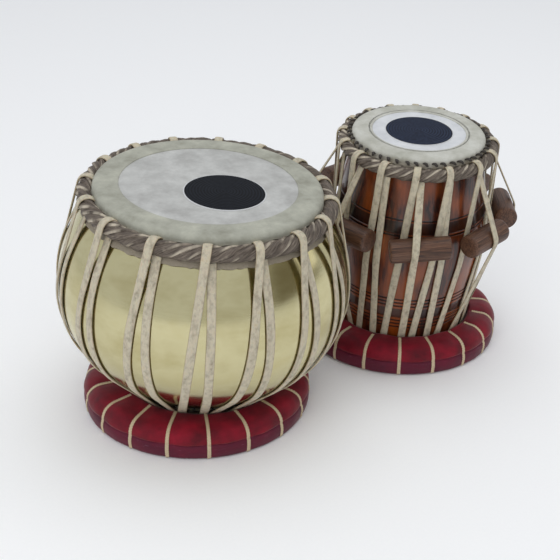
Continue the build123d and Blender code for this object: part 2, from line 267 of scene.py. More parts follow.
def varnished_rosewood():
    """Turned rosewood under varnish: dark red-brown grain up the barrel, orange where the light gets in."""
    made, tree, shader = material("varnished_rosewood", Coat_Weight=0.45, Coat_Roughness=0.12)
    streaks = grain(tree, "own", (3.2, 3.2, 70.0), 6.0, 0.62, 0.4)
    patches = grain(tree, "own", (34.0, 34.0, 60.0), 2.0, 0.5)
    stops = [(0.30, "#150706"), (0.47, "#3A170C"), (0.62, "#652E14"), (0.8, "#8C4C20")]
    wood = add(tree, "ShaderNodeValToRGB", [("Fac", streaks)], stops)
    glow = add(tree, "ShaderNodeMapRange", [("Value", patches), ("From Min", 0.45), ("From Max", 0.64)])
    orange = add(tree, "ShaderNodeMix", [(0, glow), (6, wood), (7, linear("#A34E12"))], data_type="RGBA")
    warm = add(tree, "ShaderNodeMix", [(0, 0.62), (6, wood), (7, orange)], data_type="RGBA")
    own = add(tree, "ShaderNodeAttribute", attribute_name="own").outputs["Vector"]
    height = add(tree, "ShaderNodeSeparateXYZ", [("Vector", own)]).outputs["Z"]
    burnt = 0.0
    bands = [(middle, width, BAND_SCORCH) for middle, width in WIDE_BANDS]
    for middle, width, scorch in bands + [(middle, LINE_WIDTH, LINE_SCORCH) for middle in LINES]:
        inputs = [(0, height), (1, middle), (2, width / 2)]
        inside = add(tree, "ShaderNodeMath", inputs, operation="COMPARE")
        mark = add(tree, "ShaderNodeMath", [(0, inside), (1, scorch)], operation="MULTIPLY")
        burnt = add(tree, "ShaderNodeMath", [(0, burnt), (1, mark)], operation="MAXIMUM")
    tone = add(tree, "ShaderNodeMix", [(0, burnt), (6, warm), (7, linear("#120808"))], data_type="RGBA")
    gloss = add(tree, "ShaderNodeMapRange", [("Value", streaks), ("To Min", 0.42), ("To Max", 0.26)])
    surface(tree, shader, tone, streaks, 0.12, 0.5, gloss)
    return made


def sanded_dowel_wood():
    """Sawn and sanded hardwood: mid brown with dark growth lines along the dowel, hardly any gloss."""
    made, tree, shader = material("sanded_dowel_wood", Coat_Weight=0.12, Coat_Roughness=0.35)
    lines = grain(tree, "own", (2.0, 3.4, 60.0), 5.0, 0.6, 1.2)
    pores = grain(tree, "own", (0.7, 0.7, 9.0), 3.0, 0.6)
    stops = [(0.37, "#1C0F0A"), (0.45, "#51341F"), (0.58, "#6F4C36"), (0.75, "#8A674F")]
    wood = add(tree, "ShaderNodeValToRGB", [("Fac", lines)], stops)
    aged = add(tree, "ShaderNodeMix", [(0, 0.3), (6, wood), (7, linear("#46281A"))], data_type="RGBA")
    marked = add(tree, "ShaderNodeMapRange", [("Value", pores), ("From Min", 0.3), ("From Max", 0.5)])
    tone = add(tree, "ShaderNodeMix", [(0, marked), (6, linear("#3A2018")), (7, aged)], data_type="RGBA")
    gloss = add(tree, "ShaderNodeMapRange", [("Value", lines), ("To Min", 0.62), ("To Max", 0.45)])
    surface(tree, shader, tone, lines, 0.25, 0.7, gloss)
    return made


def dressed_skin(name, low, middle, high, rim, grain_size=1.1):
    """Dressed goat skin: matt, with a fine grain and cloudy patches, darker and browner past the rim."""
    made, tree, shader = material(name, Roughness=0.62)
    clouds = grain(tree, "own", (22.0, 22.0, 22.0), 4.0, 0.62)
    follicles = grain(tree, "own", (grain_size, grain_size, grain_size), 3.0, 0.6)
    tone = add(tree, "ShaderNodeValToRGB", [("Fac", clouds)], [(0.28, low), (0.5, middle), (0.72, high)])
    pits = [("Value", follicles), ("From Min", 0.25), ("From Max", 0.6), ("To Min", 0.22), ("To Max", 0.0)]
    share = add(tree, "ShaderNodeMapRange", pits)
    face = add(tree, "ShaderNodeMix", [(0, share), (6, tone), (7, linear(low))], data_type="RGBA")
    own = add(tree, "ShaderNodeAttribute", attribute_name="own").outputs["Vector"]
    height = add(tree, "ShaderNodeSeparateXYZ", [("Vector", own)]).outputs["Z"]
    level = add(tree, "ShaderNodeMath", [(0, clouds), (1, 6.0), (2, height)], operation="MULTIPLY_ADD")
    edge = [("Value", level), ("From Min", rim + 2.5), ("From Max", rim - 6.0)]
    below = add(tree, "ShaderNodeMapRange", edge)
    hide_colours = [(0, follicles), (6, linear("#6F6557")), (7, linear("#ABA08D"))]
    hide = add(tree, "ShaderNodeMix", hide_colours, data_type="RGBA")
    skin = add(tree, "ShaderNodeMix", [(0, below), (6, face), (7, hide)], data_type="RGBA")
    surface(tree, shader, skin, follicles, 0.14, 0.6)
    return made


def rubbed_paste(name, dark, light, rim_r, rim_width):
    """Dried black paste rubbed smooth in rings: satin, darker and lighter ring by ring, with a pale edge."""
    made, tree, shader = material(name, Roughness=0.6, Specular_IOR_Level=0.1)
    own = add(tree, "ShaderNodeAttribute", attribute_name="own").outputs["Vector"]
    flat = add(tree, "ShaderNodeVectorMath", [(0, own), (1, (1.0, 1.0, 0.0))], operation="MULTIPLY")
    radius = add(tree, "ShaderNodeVectorMath", [(0, flat)], operation="LENGTH")
    phase = add(tree, "ShaderNodeMath", [(0, radius), (1, math.tau / PASTE_RING)], operation="MULTIPLY")
    rings = add(tree, "ShaderNodeMath", [(0, phase)], operation="SINE")
    powder = grain(tree, "own", (3.0, 3.0, 3.0), 4.0, 0.65)
    share = add(tree, "ShaderNodeMath", [(0, rings), (1, 0.34), (2, powder)], operation="MULTIPLY_ADD")
    body = add(tree, "ShaderNodeMix", [(0, share), (6, linear(dark)), (7, linear(light))], data_type="RGBA")
    edge = add(tree, "ShaderNodeMath", [(0, radius), (1, rim_r - rim_width)], operation="GREATER_THAN")
    tone = add(tree, "ShaderNodeMix", [(0, edge), (6, body), (7, linear("#C9CACB"))], data_type="RGBA")
    rubbed = add(tree, "ShaderNodeMath", [(0, powder), (1, 0.5), (2, rings)], operation="MULTIPLY_ADD")
    surface(tree, shader, tone, rubbed, 0.05, 0.5)
    return made


def cut_rawhide():
    """Cut rawhide: cream, mottled with grey and tan, a little translucent, yellower along the cut edges."""
    name = "cut_rawhide"
    made, tree, shader = material(name, Roughness=0.6, Subsurface_Weight=0.06, Subsurface_Scale=0.002)
    mottle = grain(tree, "own", (4.5, 4.5, 7.0), 5.0, 0.65)
    streak = grain(tree, "run", (26.0, 0.22, 3.0), 3.0, 0.55)
    fibres = grain(tree, "own", (0.8, 0.8, 1.6), 2.0, 0.6)
    stops = [(0.24, "#7D7465"), (0.40, "#AEA694"), (0.56, "#CCC4AF"), (0.76, "#BFB08E")]
    tone = add(tree, "ShaderNodeValToRGB", [("Fac", mottle)], stops)
    faint = add(tree, "ShaderNodeMath", [(0, streak), (1, 0.42)], operation="MULTIPLY")
    lined = add(tree, "ShaderNodeMix", [(0, faint), (6, tone), (7, linear("#A99877"))], data_type="RGBA")
    side = add(tree, "ShaderNodeMath", [(0, along_strip(tree).outputs["Y"])], operation="ABSOLUTE")
    cut = [("Value", side), ("From Min", 0.80), ("From Max", 1.0), ("To Max", 0.55)]
    edge = add(tree, "ShaderNodeMapRange", cut)
    hide = add(tree, "ShaderNodeMix", [(0, edge), (6, lined), (7, linear("#8B7650"))], data_type="RGBA")
    rough = add(tree, "ShaderNodeMath", [(0, mottle), (1, fibres)], operation="ADD")
    surface(tree, shader, hide, rough, 0.25, 0.6)
    return made


def twisted_hide():
    """Twisted strands of hide with the hair side worn off: grey-brown, with a painted highlight along one
    edge of each strand, in patches.
    """
    made, tree, shader = material("twisted_hide", Roughness=0.66)
    along = grain(tree, "run", (9.0, 0.16, 0.7), 4.0, 0.65)
    dirt = grain(tree, "own", (6.0, 6.0, 6.0), 4.0, 0.6)
    highlight_patch_noise = grain(tree, "run", (16.0, 9.0, 0.6))
    stops = [(0.28, "#1A1512"), (0.42, "#4B4139"), (0.56, "#776B5F"), (0.74, "#A39686")]
    tone = add(tree, "ShaderNodeValToRGB", [("Fac", along)], stops)
    grime = add(tree, "ShaderNodeMath", [(0, dirt), (1, 0.55)], operation="MULTIPLY")
    soiled = add(tree, "ShaderNodeMix", [(0, grime), (6, tone), (7, linear("#3E342C"))], data_type="RGBA")
    # Painted highlight: one edge of each strand is lightened to pale cream, broken into patches by noise.
    side = along_strip(tree).outputs["Y"]
    edge = add(tree, "ShaderNodeMapRange", [("Value", side), ("From Min", 0.62), ("From Max", 0.98)])
    highlight_patches = add(tree, "ShaderNodeMapRange", [("Value", highlight_patch_noise), ("From Min", 0.46), ("From Max", 0.62)])
    painted_edge_highlight = add(tree, "ShaderNodeMath", [(0, edge), (1, highlight_patches)], operation="MULTIPLY")
    strand = add(tree, "ShaderNodeMix", [(0, painted_edge_highlight), (6, soiled), (7, linear("#C6BBA8"))], data_type="RGBA")
    surface(tree, shader, strand, along, 0.6, 0.8)
    return made


def cushion_cotton():
    """Plain-woven maroon cotton, tightly stuffed: slight sheen, a darker purple down the side as painted
    reflection and shade, with pale specks there.
    """
    name = "maroon_cushion_cotton"
    made, tree, shader = material(name, Sheen_Weight=0.12, Sheen_Roughness=0.4, Specular_IOR_Level=0.25)
    run = add(tree, "ShaderNodeAttribute", attribute_name="run").outputs["Vector"]
    threads = []
    for axis in ("X", "Y"):
        inputs = [("Vector", run), ("Scale", WAVE_PERIOD / THREAD_GAP), ("Distortion", 0.6), ("Detail", 1.0)]
        threads.append(add(tree, "ShaderNodeTexWave", inputs, bands_direction=axis).outputs["Fac"])
    weave = add(tree, "ShaderNodeMath", [(0, threads[0]), (1, threads[1])], operation="MULTIPLY")
    fade = grain(tree, "own", (26.0, 26.0, 18.0), 4.0, 0.6)
    stops = [(0.3, "#560717"), (0.52, "#7A0A20"), (0.75, "#951028")]
    tone = add(tree, "ShaderNodeValToRGB", [("Fac", fade)], stops)
    # Painted reflection and shade: the side wall is tinted a darker purple.
    side = along_strip(tree).outputs["Z"]
    lower = add(tree, "ShaderNodeMath", [(0, side), (1, 0.62)], operation="MULTIPLY")
    painted_side_sheen_and_shade = add(tree, "ShaderNodeMix", [(0, lower), (6, tone), (7, linear("#4C1C34"))], data_type="RGBA")
    # Pale pinkish specks down the side wall, also used in the relief.
    pale_specks = grain(tree, "run", (9.0, 1.6, 1.0), 5.0, 0.7)
    speck_levels = [("Value", pale_specks), ("From Min", 0.60), ("From Max", 0.72), ("To Max", 0.45)]
    worn = add(tree, "ShaderNodeMapRange", speck_levels)
    share = add(tree, "ShaderNodeMath", [(0, worn), (1, side)], operation="MULTIPLY")
    rubbed = add(tree, "ShaderNodeMix", [(0, share), (6, painted_side_sheen_and_shade), (7, linear("#92697F"))], data_type="RGBA")
    shade = add(tree, "ShaderNodeMath", [(0, weave), (1, -0.16), (2, 0.16)], operation="MULTIPLY_ADD")
    cloth = add(tree, "ShaderNodeMix", [(0, shade), (6, rubbed), (7, linear("#2E0512"))], data_type="RGBA")
    gloss = add(tree, "ShaderNodeMapRange", [("Value", fade), ("To Min", 0.48), ("To Max", 0.66)])
    nap = add(tree, "ShaderNodeMath", [(0, weave), (1, 0.5), (2, pale_specks)], operation="MULTIPLY_ADD")
    surface(tree, shader, cloth, nap, 0.16, 0.5, gloss)
    return made


def gilt_braid():
    """Gilt thread braid: cream-gold strands with a soft metallic shine."""
    made, tree, shader = material("gilt_thread_braid", Metallic=0.35, Roughness=0.45)
    fibre = grain(tree, "run", (1.2, 0.5, 1.0), 2.0, 0.5)
    wear = grain(tree, "own", (5.0, 5.0, 5.0), 3.0, 0.6)
    threads = [(0, fibre), (6, linear("#AC8F64")), (7, linear("#E6D8B8"))]
    tone = add(tree, "ShaderNodeMix", threads, data_type="RGBA")
    faint = add(tree, "ShaderNodeMath", [(0, wear), (1, 0.5)], operation="MULTIPLY")
    worn = add(tree, "ShaderNodeMix", [(0, faint), (6, tone), (7, linear("#DDD2B8"))], data_type="RGBA")
    surface(tree, shader, worn, fibre, 0.12, 0.6)
    return made


def plain_stuff(name, dark, light, source, sizes, detail, relief, nap=None, **constants):
    """A stuff of two mottled tones, whose relief follows the mottling or a finer nap."""
    made, tree, shader = material(name, **constants)
    mottle = grain(tree, source, sizes, detail, relief[2])
    tone = add(tree, "ShaderNodeMix", [(0, mottle), (6, linear(dark)), (7, linear(light))], data_type="RGBA")
    height = grain(tree, source, nap, 2.0, 0.5) if nap else mottle
    surface(tree, shader, tone, height, relief[0], relief[1])
    return made


def thong_in_painted_shade():
    """Thong, painted nearly black for the shade in the holes where the hoop is sewn to the skins."""
    name = "thong_in_painted_shade"
    return plain_stuff(name, "#14100D", "#3B322A", "own", (1.6,) * 3, 3.0, (0.2, 0.7, 0.6), Roughness=0.55)


def base_cotton():
    """Plain cotton under the cushion: darker and dusty."""
    return plain_stuff(
        "plum_base_cotton", "#35101E", "#5C2A3A", "object", (9.0,) * 3, 4.0, (0.2, 0.6, 0.6), (0.9,) * 3,
        Roughness=0.85, Sheen_Weight=0.15,
    )


def plant_fibre():
    """Coiled plant fibre: dry straw strands."""
    name = "coiled_plant_fibre"
    sizes = (1.2, 1.2, 5.0)
    return plain_stuff(name, "#5B4322", "#B89A63", "object", sizes, 4.0, (0.6, 0.8, 0.6), Roughness=0.9)


def lining_hide():
    """Undressed hide: thin and veined, between skin and rim."""
    name = "undressed_lining_hide"
    return plain_stuff(name, "#A89574", "#D5C7A8", "object", (7.0,) * 3, 5.0, (0.2, 0.5, 0.6), Roughness=0.75)


def studio_floor():
    """Matt white paper sweep: the faint mottle of its pulp."""
    made, tree, shader = material("white_paper", Roughness=0.8, Specular_IOR_Level=0.2)
    pulp = grain(tree, "object", (3.0, 3.0, 3.0), 2.0, 0.5)
    whites = [(0, pulp), (6, linear("#FBFBFC")), (7, linear("#FFFFFF"))]
    tone = add(tree, "ShaderNodeMix", whites, data_type="RGBA")
    tree.links.new(main_output(tone), shader.inputs["Base Color"])
    return made


# ---------------------------------------------------------------- shaping

def blank():
    """An empty mesh whose corners remember where they are on the drum and along their own strip."""
    bm = bmesh.new()
    bm.verts.layers.float_vector.new("own")
    bm.verts.layers.float_vector.new("run")
    return bm


def finish(bm, name, place, look, body, nodes=(), sharp=40.0):
    """Puts a piece in its place and hands it to its body, when it is given one."""
    own = bm.verts.layers.float_vector.get("own") or bm.verts.layers.float_vector.new("own")
    bm.verts.ensure_lookup_table()
    for vert in bm.verts:
        vert[own] = vert.co
    bmesh.ops.recalc_face_normals(bm, faces=bm.faces)
    mesh = bpy.data.meshes.new(name)
    bm.to_mesh(mesh)
    bm.free()
    mesh.transform(place)
    mesh.shade_smooth()
    mesh.set_sharp_from_angle(angle=math.radians(sharp))
    mesh.materials.append(look)
    obj = bpy.data.objects.new(name, mesh)
    bpy.context.scene.collection.objects.link(obj)
    if body:
        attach(obj, body)
    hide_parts(*nodes)
    return obj


def spun(outline, steps=160, closed=False):
    """A shape turned about the drum from an outline of (radius, height)."""
    bm = blank()
    corners = [bm.verts.new((radius, 0, height)) for radius, height in outline]
    edges = [bm.edges.new(pair) for pair in zip(corners, corners[1:])]
    if closed:
        edges.append(bm.edges.new((corners[-1], corners[0])))
    bmesh.ops.spin(
        bm, geom=corners + edges, cent=(0, 0, 0), axis=(0, 0, 1), angle=math.tau, steps=steps, use_merge=True
    )
    bmesh.ops.remove_doubles(bm, verts=bm.verts, dist=0.001)
    return bm


def tube(bm, along, around, corner, looped=False):
    """Adds a closed tube; corner(u, v) gives a point and its place on the strip, u along and v around."""
    run = bm.verts.layers.float_vector["run"]
    grid = bmesh.ops.create_grid(bm, x_segments=along, y_segments=around, size=0.5)
    for vert in grid["verts"]:
        point, strip = corner(vert.co.x + 0.5, vert.co.y + 0.5)
        vert.co = point
        vert[run] = strip
    bmesh.ops.remove_doubles(bm, verts=grid["verts"], dist=0.0005)
    if not looped:
        kept = [vert for vert in grid["verts"] if vert.is_valid]
        ends = {edge for vert in kept for edge in vert.link_edges if edge.is_boundary}
        bmesh.ops.holes_fill(bm, edges=list(ends), sides=0)


def polar(radius, angle, height):
    turn = math.radians(angle)
    return Vector((radius * math.cos(turn), radius * math.sin(turn), height))


def turned(vector, angle):
    return Matrix.Rotation(angle, 2) @ vector


def add_arc(points, heading, end, count=14):
    """Continues an outline by the arc that leaves at a heading and reaches end; gives its last heading."""
    start = Vector(points[-1])
    chord = Vector(end) - start
    left = Vector((-heading.y, heading.x))
    centre = start + left * (chord.length_squared / (2 * chord.dot(left)))
    turn = 2 * math.atan2(heading.x * chord.y - heading.y * chord.x, heading.dot(chord))
    for step in range(1, count + 1):
        points.append(tuple(centre + turned(start - centre, turn * step / count)))
    return turned(heading, turn)


def belly_circle(belly, point):
    """(radius, height, size) of the circle that is upright at the belly and passes through the point."""
    inward = belly[0] - point[0]
    size = (inward ** 2 + (belly[1] - point[1]) ** 2) / (2 * inward)
    return (belly[0] - size, belly[1], size)


def corner_circle(before, corner, after, size):
    """(radius, height, size) of the circle that rounds a corner between two straight runs."""
    back = (Vector(before) - Vector(corner)).normalized()
    on = (Vector(after) - Vector(corner)).normalized()
    centre = Vector(corner) + (back + on).normalized() * (size / math.sin(back.angle(on) / 2))
    return (centre.x, centre.y, size)


def rim_point(circle, angle, clear=0.0):
    turn = math.radians(angle)
    reach = circle[2] + clear
    return (circle[0] + reach * math.cos(turn), circle[1] + reach * math.sin(turn))


def leaving_angle(circle, following):
    """Angle of the outward normal of a taut strap between two circles, the first above the second."""
    step = Vector((following[0] - circle[0], following[1] - circle[1]))
    lean = max(-1.0, min(1.0, (circle[2] - following[2]) / step.length))
    return math.degrees(math.atan2(step.y, step.x) + math.acos(lean))


def taut_line(circles, start, end=STRAP_END, clear=STRAP_CLEAR):
    """Points of a strap pulled over circles, as (radius, height, angle of the outward normal)."""
    angles = [start]
    for circle, following in zip(circles, circles[1:]):
        angle = leaving_angle(circle, following)
        angles.append(angle if angle <= angles[-1] else angle - 360)
    angles.append(end)
    line = []
    for circle, first, last in zip(circles, angles, angles[1:]):
        at = rim_point(circle, first, clear)
        if line:
            gap = math.dist(line[-1][:2], at)
            spans = max(1, round(gap / STRAP_STEP))
            begun = line[-1]
            for step in range(1, spans):
                share = step / spans
                line.append(tuple(a + (b - a) * share for a, b in zip(begun, (*at, first))))
        length = math.radians(abs(first - last)) * (circle[2] + clear)
        count = max(1, math.ceil(length / STRAP_STEP), math.ceil(abs(first - last) / 15))
        for step in range(count + 1):
            angle = first + (last - first) * step / count
            place = (*rim_point(circle, angle, clear), angle)
            if not line or math.dist(line[-1][:2], place[:2]) > 0.3:
                line.append(place)
    return line


def strap_stations(line, at, turned_by, slack=0.0):
    """Points and outward directions of a strap, from its angles at the hoop, the seat and the foot."""
    top, seat, foot = (angle + turn for angle, turn in zip(at, turned_by))
    top += slack
    wound = [0.0]
    for one, following in zip(line, line[1:]):
        wound.append(wound[-1] + math.dist(one[:2], following[:2]) / max(one[0], 30.0) ** 2)
    split = next(number for number, place in enumerate(line) if place[1] < SEAT_Z)
    stations = []
    for (radius, height, lean), share in zip(line, wound):
        if share <= wound[split]:
            angle = top + (seat - top) * share / wound[split]
        else:
            angle = seat + (foot - seat) * (share - wound[split]) / (wound[-1] - wound[split])
        tilt = math.radians(lean)
        stations.append((polar(radius, angle, height), polar(math.cos(tilt), angle, math.sin(tilt))))
    return stations


def strap(bm, stations, lot, width):
    """Adds a flat strap of hide with softened edges, a little uneven as it was cut by hand."""
    last = len(stations) - 1
    lengths = [0.0]
    for one, following in zip(stations, stations[1:]):
        lengths.append(lengths[-1] + (following[0] - one[0]).length)

    def corner(u, v):
        number = round(u * last)
        point, out = stations[number]
        ahead = stations[min(number + 1, last)][0] - stations[max(number - 1, 0)][0]
        side = ahead.cross(out).normalized()
        along = lengths[number]
        cut = noise.noise(Vector((along / 34, lot * 7.3, 0.5)))
        sway = noise.noise(Vector((along / 60, lot * 3.1, 4.5)))
        turn = math.tau * v
        across = math.copysign(abs(math.cos(turn)) ** 0.45, math.cos(turn))
        up = math.copysign(abs(math.sin(turn)) ** 0.6, math.sin(turn))
        half = width / 2 * (1 + 0.10 * cut)
        curl = 0.35 * cut * across + 0.2 * (1 - across * across)
        lift = STRAP_THICK / 2 * (1 + up * (1 - 0.25 * across * across)) + curl * (0.5 + 0.5 * up)
        place = point + side * (across * half + 0.5 * sway) + out * lift
        return place, (along, across, lot)

    tube(bm, last, 14, corner)


def hoop_at(ring, angle):
    """The hoop's (radius, height, size) at an angle: it is pulled down lower on the player's side."""
    share = 0.5 + 0.5 * math.cos(math.radians(angle - HOOP_LOW_SIDE))
    sag = (HOOP_BACK_DROP + HOOP_TILT * share) * ring[0] / BOWL_HOOP[0]
    return (ring[0], ring[1] - (sag if ring[1] > SEAT_Z else 0), ring[2])


def rope_ring(bm, ring, strands, turns):
    """Adds a hoop laid up from flat strands that wind round it and lap over each other."""
    radius, level, size = ring
    pitch = math.tau * radius / turns
    spread = 0.62 * pitch / strands * math.sin(math.atan2(math.tau * size, pitch))
    for strand in range(strands):
        lot = rng.uniform(0, 50)
        broad = rng.uniform(0.84, 1.16)

        def corner(u, v):
            turn = u * math.tau
            wobble = noise.noise(Vector((3.2 * math.cos(turn), 3.2 * math.sin(turn), lot)))
            ragged = noise.noise(Vector((14 * math.cos(turn), 14 * math.sin(turn), lot + 9)))
            wind = turns * turn + math.tau * strand / strands + 0.24 * wobble
            height = hoop_at(ring, math.degrees(turn))[1]
            outward = Vector((math.cos(turn), math.sin(turn), 0))
            ahead = Vector((-math.sin(turn), math.cos(turn), 0))
            normal = outward * math.cos(wind) + Vector((0, 0, 1)) * math.sin(wind)
            spiral = outward * -math.sin(wind) + Vector((0, 0, 1)) * math.cos(wind)
            heading = (ahead * radius + spiral * size * 0.8 * turns).normalized()
            side = heading.cross(normal)
            wide = broad * spread * (1 + 0.3 * ragged)
            deep = size * STRAND_THIN * (1 + 0.2 * wobble)
            angle = math.tau * v
            across = math.copysign(abs(math.cos(angle)) ** 0.8, math.cos(angle))
            up = math.sin(angle)
            lean = side * math.cos(STRAND_TILT) + normal * math.sin(STRAND_TILT)
            over = normal * math.cos(STRAND_TILT) - side * math.sin(STRAND_TILT)
            middle = outward * radius + Vector((0, 0, height)) + normal * (size - deep)
            place = middle + lean * across * wide + over * up * deep
            return place, (turn * radius, across, lot)

        tube(bm, turns * 26, 10, corner, looped=True)


def drum_place(name):
    """From a drum's own millimetres to metres in the row frame."""
    low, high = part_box(f"{name}_cushion_base")
    foot = Vector(((low.x + high.x) / 2, (low.y + high.y) / 2, 0))
    lift = next(joint for joint in frame["joints"] if joint["name"] == f"{name}_lift")
    up = Vector(lift["axis"]).normalized()
    across = (Vector((1, 0, 0)) - up * up.x).normalized()
    turn = Matrix((across, up.cross(across), up)).transposed().to_4x4()
    return Matrix.Translation(foot) @ turn @ Matrix.Scale(MM, 4)


def ring_place(name):
    low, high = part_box(f"{name}_cushion_base")
    return Matrix.Translation(((low.x + high.x) / 2, (low.y + high.y) / 2, 0)) @ Matrix.Scale(MM, 4)


# ---------------------------------------------------------------- bowl and barrel

def bowl_outline():
    points = [(0.0, BOWL_BASE[1]), (8.0, BOWL_BASE[1]), BOWL_BASE]
    heading = Vector((1, 0))
    for end, count in ((BOWL_FOOT, 8), (BOWL_FLANK, 18), (BOWL_BELLY, 18), (BOWL_NECK, 26)):
        heading = add_arc(points, heading, end, count)
    return points


def inner_line(points, wall):
    """The outline moved inwards by the wall's thickness."""
    moved = []
    for number in range(1, len(points) - 1):
        step = Vector(points[number + 1]) - Vector(points[number - 1])
        inward = Vector((-step.y, step.x)).normalized()
        moved.append(tuple(Vector(points[number]) + inward * wall))
    return moved


def bowl(place, looks):
    """Brass bowl with a rolled lip, hollow right down."""
    outer = bowl_outline()
    inner = inner_line(outer, BOWL_WALL)
    lip = [(BOWL_RIM[0] - 0.4, BOWL_RIM[1] - BOWL_LIP - 3)]
    centre = (BOWL_RIM[0] - BOWL_LIP, BOWL_RIM[1] - BOWL_LIP, BOWL_LIP)
    lip += [rim_point(centre, angle) for angle in range(0, 225, 20)]
    outline = outer + lip + [(BOWL_NECK[0] - 2.6, BOWL_NECK[1] + 0.5)] + inner[::-1] + [(0.0, inner[0][1])]
    bm = spun(outline, steps=220)
    finish(bm, "bayan_bowl", place, looks["brass"], "bayan", ["bayan_shell"])


def barrel_side():
    """The barrel's outer side from its base up, with its bands and lines cut in."""
    base = corner_circle((0, BARREL_BASE[1]), BARREL_BASE, BARREL_BELLY, BASE_ROUND)
    belly = corner_circle(BARREL_BASE, BARREL_BELLY, BARREL_RIM, BELLY_ROUND)
    low_lean = math.degrees(math.atan2(BARREL_BASE[0] - BARREL_BELLY[0], BARREL_BELLY[1] - BARREL_BASE[1]))
    high_lean = math.degrees(math.atan2(BARREL_BELLY[0] - BARREL_RIM[0], BARREL_RIM[1] - BARREL_BELLY[1]))
    side = [rim_point(base, low_lean), rim_point(belly, low_lean)]
    side += [rim_point(belly, low_lean + (high_lean - low_lean) * step / 20) for step in range(1, 21)]
    side.append((BARREL_RIM[0] + 0.6, BARREL_RIM[1] - RIM_ROUND))
    heights = [height for radius, height in side]

    def radius_at(height):
        number = max(1, min(len(side) - 1, bisect.bisect(heights, height)))
        (r0, z0), (r1, z1) = side[number - 1], side[number]
        return r0 + (r1 - r0) * (height - z0) / (z1 - z0)

    cuts = [(middle, width) for middle, width in WIDE_BANDS] + [(middle, LINE_WIDTH) for middle in LINES]
    marks = [(height, 0.0) for height in heights]
    for middle, width in cuts:
        low, high = middle - width / 2, middle + width / 2
        marks = [mark for mark in marks if not low - 0.6 < mark[0] < high + 0.6]
        marks += [(low - 0.25, 0.0), (low + 0.25, CUT_DEPTH), (high - 0.25, CUT_DEPTH), (high + 0.25, 0.0)]
    bottom = [rim_point(base, -90 + (low_lean + 90) * step / 8) for step in range(9)]
    return [(0.0, BARREL_BASE[1])] + bottom[:-1] + [(radius_at(h) - depth, h) for h, depth in sorted(marks)]


def barrel(place, looks):
    """Turned barrel, hollowed from the top."""
    rim = (BARREL_RIM[0] - RIM_ROUND, BARREL_RIM[1] - RIM_ROUND, RIM_ROUND)
    edge = [rim_point(rim, angle) for angle in (30, 60, 90)]
    inner_r = BARREL_RIM[0] - BARREL_WALL
    floor_r = BARREL_BASE[0] - BARREL_WALL
    hollow = [(inner_r, BARREL_RIM[1]), (inner_r + 13, 180.0), (inner_r + 16, 142.0), (floor_r + 6, 84.0)]
    foot = (floor_r - 18, BARREL_FLOOR + 18, 18.0)
    hollow += [rim_point(foot, angle) for angle in (0, -30, -60, -90)] + [(0.0, BARREL_FLOOR)]
    bm = spun(barrel_side() + edge + hollow, steps=220)
    finish(bm, "dayan_barrel", place, looks["rosewood"], "dayan", ["dayan_shell"])


# ---------------------------------------------------------------- heads

def head_line(rim, lip, out, tail, flat_steps=10):
    """Line of a skin over the rim: flat from the middle, round the lip, and down its tail."""
    centre = (rim[0] - lip, rim[1] - lip, lip)
    line = [(centre[0] * step / flat_steps, rim[1] + out) for step in range(flat_steps)]
    return line + [rim_point(centre, 90 - 15 * step, out) for step in range(7)] + tail(out)


def bowl_tail(out):
    """The bayan's skin in the neck and down the shoulder, to its lower edge under the hoop."""
    shoulder = belly_circle(BOWL_BELLY, BOWL_NECK)
    lower = [rim_point(shoulder, SHOULDER_TOP - SHOULDER_STEP * step, out) for step in range(9)]
    return [(BOWL_RIM[0] - 0.6 + out, NECK_Z)] + lower


def bowl_edge_tail(out):
    return [(BOWL_RIM[0] + out, NECK_Z + 1.2), (BOWL_RIM[0] + out + 0.6, NECK_Z)]


def barrel_tail(out):
    return [(BARREL_RIM[0] + out + 0.35 * step, BARREL_RIM[1] - 4 - 1.6 * step) for step in range(9)]


def barrel_edge_tail(out):
    return [(BARREL_RIM[0] + out + 0.35 * step, BARREL_RIM[1] - 4 - 1.0 * step) for step in range(4)]


def head(drum, place, looks, rim, lip, tails, edge_r, tear_depth, scallops):
    """Playing skin and the ring of thicker skin over its edge."""
    tail, edge_tail = tails
    line = head_line(rim, lip, SKIN_OUT, tail)
    under = head_line(rim, lip, SKIN_IN, tail)
    bm = spun(line + under[::-1], steps=288)
    lowest = line[-1][1]
    for vert in bm.verts:
        drop = max(0.0, min(1.0, (lowest + 10 - vert.co.z) / 10))
        if drop > 0:
            turn = math.atan2(vert.co.y, vert.co.x)
            around = Vector((math.cos(turn), math.sin(turn), 0.0))
            tear = noise.noise(around * 17) + 0.6 * noise.noise(around * 52)
            pucker = abs(noise.noise(around * 26 + Vector((0, 0, vert.co.z / 9))))
            vert.co += around * (0.9 * drop * pucker) + Vector((0, 0, tear_depth * drop * tear))
    nodes = [f"{drum}_head_skin"]
    finish(bm, f"{drum}_playing_skin", place, looks[f"{drum}_skin"], drum, nodes)
    outer = [point for point in head_line(rim, lip, EDGE_OUT, edge_tail) if point[0] > edge_r]
    inner = [point for point in head_line(rim, lip, SKIN_OUT + 0.05, edge_tail) if point[0] > edge_r]
    top = rim[1] + EDGE_OUT
    start = [(edge_r - 0.25, top - 0.75), (edge_r + 0.15, top - 0.2), (edge_r + 0.9, top), (edge_r + 4, top)]
    foot = [(edge_r - 0.2, rim[1] + SKIN_OUT + 0.05)]
    bm = spun(foot + start + outer + inner[::-1], steps=288, closed=True)
    for vert in bm.verts:
        drop = max(0.0, min(1.0, (rim[1] - 3 - vert.co.z) / 4))
        vert.co.z += drop * 1.1 * math.cos(scallops * math.atan2(vert.co.y, vert.co.x))
    finish(bm, f"{drum}_edge_skin", place, looks[f"{drum}_edge"], drum, [f"{drum}_chati"])


